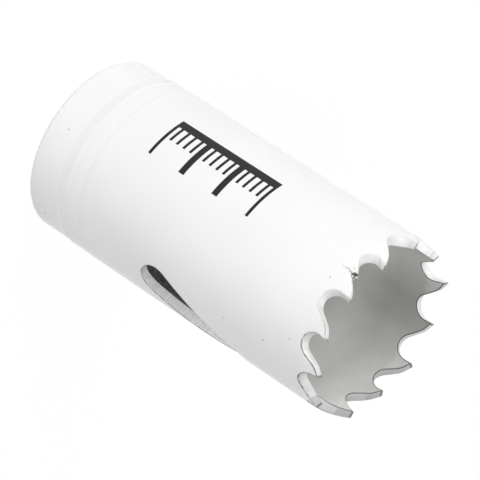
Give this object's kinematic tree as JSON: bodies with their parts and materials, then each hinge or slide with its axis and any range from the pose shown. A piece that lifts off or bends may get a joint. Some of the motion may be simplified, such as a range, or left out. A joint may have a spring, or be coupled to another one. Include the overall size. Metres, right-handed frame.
{
  "type": "hole saw",
  "caption": "Small slotted cup saw: a white painted, rolled and welded tube on a thick threaded end cap, with a ring of set teeth round its open end.",
  "frame": {"origin": "centre of the back face of the end cap, where the arbor's shoulder seats", "axes": "+Z along the saw's axis from the back face to the tooth tips, +X through the middle of the first slanted slot"},
  "size_m": [0.0218, 0.0217, 0.044],
  "materials": {
    "white_paint": "satin white paint",
    "tooth_steel": "ground high-speed steel"
  },
  "bodies": {
    "root": {"saw_body": "white_paint", "seam_weld": "white_paint", "cap_weld": "white_paint", "end_cap": "white_paint", "tooth_tip_1": "tooth_steel", "tooth_tip_2": "tooth_steel", "tooth_tip_3": "tooth_steel", "tooth_tip_4": "tooth_steel", "tooth_tip_5": "tooth_steel", "tooth_tip_6": "tooth_steel", "tooth_tip_7": "tooth_steel", "tooth_tip_8": "tooth_steel", "tooth_tip_9": "tooth_steel", "tooth_tip_10": "tooth_steel", "tooth_tip_11": "tooth_steel", "tooth_tip_12": "tooth_steel"}
  },
  "joints": []
}
